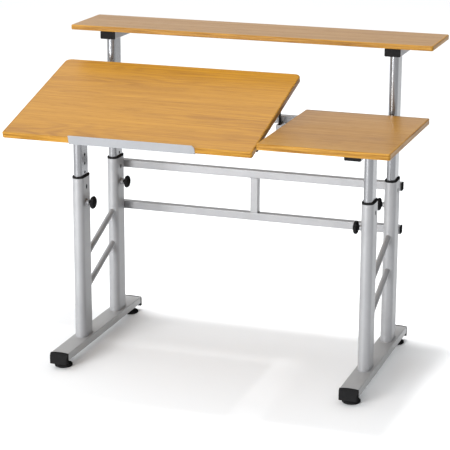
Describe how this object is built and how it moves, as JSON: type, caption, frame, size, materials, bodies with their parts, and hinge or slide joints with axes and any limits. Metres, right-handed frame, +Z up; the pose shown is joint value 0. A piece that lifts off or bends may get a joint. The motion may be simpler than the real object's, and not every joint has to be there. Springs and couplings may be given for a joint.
{
  "type": "drafting table",
  "caption": "Height-adjustable drafting table with a tilting drawing board, a fixed side board and a raised full-width shelf.",
  "frame": {"origin": "centre of the table's outline on the floor, under the glides", "axes": "+X to the user's right along the width, +Y away from the user towards the shelf, +Z up"},
  "size_m": [1.2, 0.767, 1.0243],
  "materials": {
    "oak_laminate": "satin laminate with an oak grain along the width",
    "oak_lipping": "satin, rounded lipping",
    "silver_paint": "satin silver-grey powder coat",
    "light_grey_metal": "light grey satin paint",
    "black_plastic": "moulded, semi-matt",
    "black_rubber": "matt",
    "black_steel": "black satin paint",
    "zinc_hardware": "bright zinc plate"
  },
  "bodies": {
    "base_frame": {"left_foot_bar": "silver_paint", "right_foot_bar": "silver_paint", "left_front_foot_cap": "black_plastic", "left_rear_foot_cap": "black_plastic", "right_front_foot_cap": "black_plastic", "right_rear_foot_cap": "black_plastic", "left_front_outer_tube": "silver_paint", "left_rear_outer_tube": "silver_paint", "right_front_outer_tube": "silver_paint", "right_rear_outer_tube": "silver_paint", "left_front_guide_sleeve": "black_plastic", "left_rear_guide_sleeve": "black_plastic", "right_front_guide_sleeve": "black_plastic", "right_rear_guide_sleeve": "black_plastic", "ladder_rungs": "silver_paint", "upper_crossbar": "silver_paint", "lower_crossbar": "silver_paint", "crossbar_tie": "silver_paint", "crossbar_end_caps": "black_plastic", "crossbar_bolts": "zinc_hardware", "knob_bosses": "silver_paint", "glide_inserts": "zinc_hardware"},
    "sliding_frame": {"left_front_inner_tube": "silver_paint", "left_rear_inner_tube": "silver_paint", "right_front_inner_tube": "silver_paint", "right_rear_inner_tube": "silver_paint", "lower_guide_plugs": "black_plastic", "left_desk_arm": "silver_paint", "centre_desk_arm": "silver_paint", "right_desk_arm": "silver_paint", "cross_rails": "silver_paint", "desk_arm_end_cap": "black_plastic", "left_shelf_arm": "silver_paint", "right_shelf_arm": "silver_paint", "shelf_arm_end_caps": "black_plastic", "fixed_board": "oak_laminate", "fixed_board_edging": "oak_lipping", "shelf_board": "oak_laminate", "shelf_edging": "oak_lipping", "board_screws": "zinc_hardware", "board_pads": "black_rubber", "clamp_brackets": "silver_paint"},
    "drawing_board": {"drawing_board": "oak_laminate", "drawing_board_edging": "oak_lipping", "pencil_ledge": "light_grey_metal", "hinge_brackets": "black_steel", "pivot_pins": "black_steel", "stay_brackets": "black_steel", "drawing_board_screws": "zinc_hardware"},
    "stay_bars": {"stay_bars": "black_steel"},
    "stay_clamps": {"stay_clamps": "black_steel"},
    "left_front_knob": {"left_front_knob": "black_plastic"},
    "left_front_glide": {"left_front_glide": "black_plastic"},
    "left_rear_knob": {"left_rear_knob": "black_plastic"},
    "left_rear_glide": {"left_rear_glide": "black_plastic"},
    "right_front_knob": {"right_front_knob": "black_plastic"},
    "right_front_glide": {"right_front_glide": "black_plastic"},
    "right_rear_knob": {"right_rear_knob": "black_plastic"},
    "right_rear_glide": {"right_rear_glide": "black_plastic"}
  },
  "joints": [
    {"name": "height_slide", "type": "slide", "parent": "base_frame", "child": "sliding_frame", "axis": [0, 0, 1], "range_m": [-0.14288, 0.14288]},
    {"name": "board_tilt", "type": "hinge", "parent": "sliding_frame", "child": "drawing_board", "pos_m": [0, -0.2841, 0.7698], "axis": [1, 0, 0], "range_deg": [-16, 11]},
    {"name": "stay_bar_swing", "type": "hinge", "parent": "drawing_board", "child": "stay_bars", "pos_m": [0, 0.0703, 0.8761], "axis": [1, 0, 0], "range_deg": [-5.6, 8.1]},
    {"name": "stay_clamp_swing", "type": "hinge", "parent": "sliding_frame", "child": "stay_clamps", "pos_m": [0, 0.08537, 0.75], "axis": [1, 0, 0], "range_deg": [-8.1, 5.6]},
    {"name": "left_front_knob_turn", "type": "hinge", "parent": "base_frame", "child": "left_front_knob", "pos_m": [-0.4307, -0.0825, 0.4985], "axis": [1, 0, 0], "continuous": true},
    {"name": "left_front_glide_screw", "type": "slide", "parent": "base_frame", "child": "left_front_glide", "axis": [0, 0, -1], "range_m": [0, 0.012]},
    {"name": "left_rear_knob_turn", "type": "hinge", "parent": "base_frame", "child": "left_rear_knob", "pos_m": [-0.4307, 0.2043, 0.4985], "axis": [1, 0, 0], "continuous": true},
    {"name": "left_rear_glide_screw", "type": "slide", "parent": "base_frame", "child": "left_rear_glide", "axis": [0, 0, -1], "range_m": [0, 0.012]},
    {"name": "right_front_knob_turn", "type": "hinge", "parent": "base_frame", "child": "right_front_knob", "pos_m": [0.4307, -0.0825, 0.4985], "axis": [-1, 0, 0], "continuous": true},
    {"name": "right_front_glide_screw", "type": "slide", "parent": "base_frame", "child": "right_front_glide", "axis": [0, 0, -1], "range_m": [0, 0.012]},
    {"name": "right_rear_knob_turn", "type": "hinge", "parent": "base_frame", "child": "right_rear_knob", "pos_m": [0.4307, 0.2043, 0.4985], "axis": [-1, 0, 0], "continuous": true},
    {"name": "right_rear_glide_screw", "type": "slide", "parent": "base_frame", "child": "right_rear_glide", "axis": [0, 0, -1], "range_m": [0, 0.012]}
  ],
  "couplings": [
    {"joint": "stay_bar_swing", "follows": "board_tilt", "ratio": -0.5},
    {"joint": "stay_clamp_swing", "follows": "board_tilt", "ratio": 0.5}
  ]
}
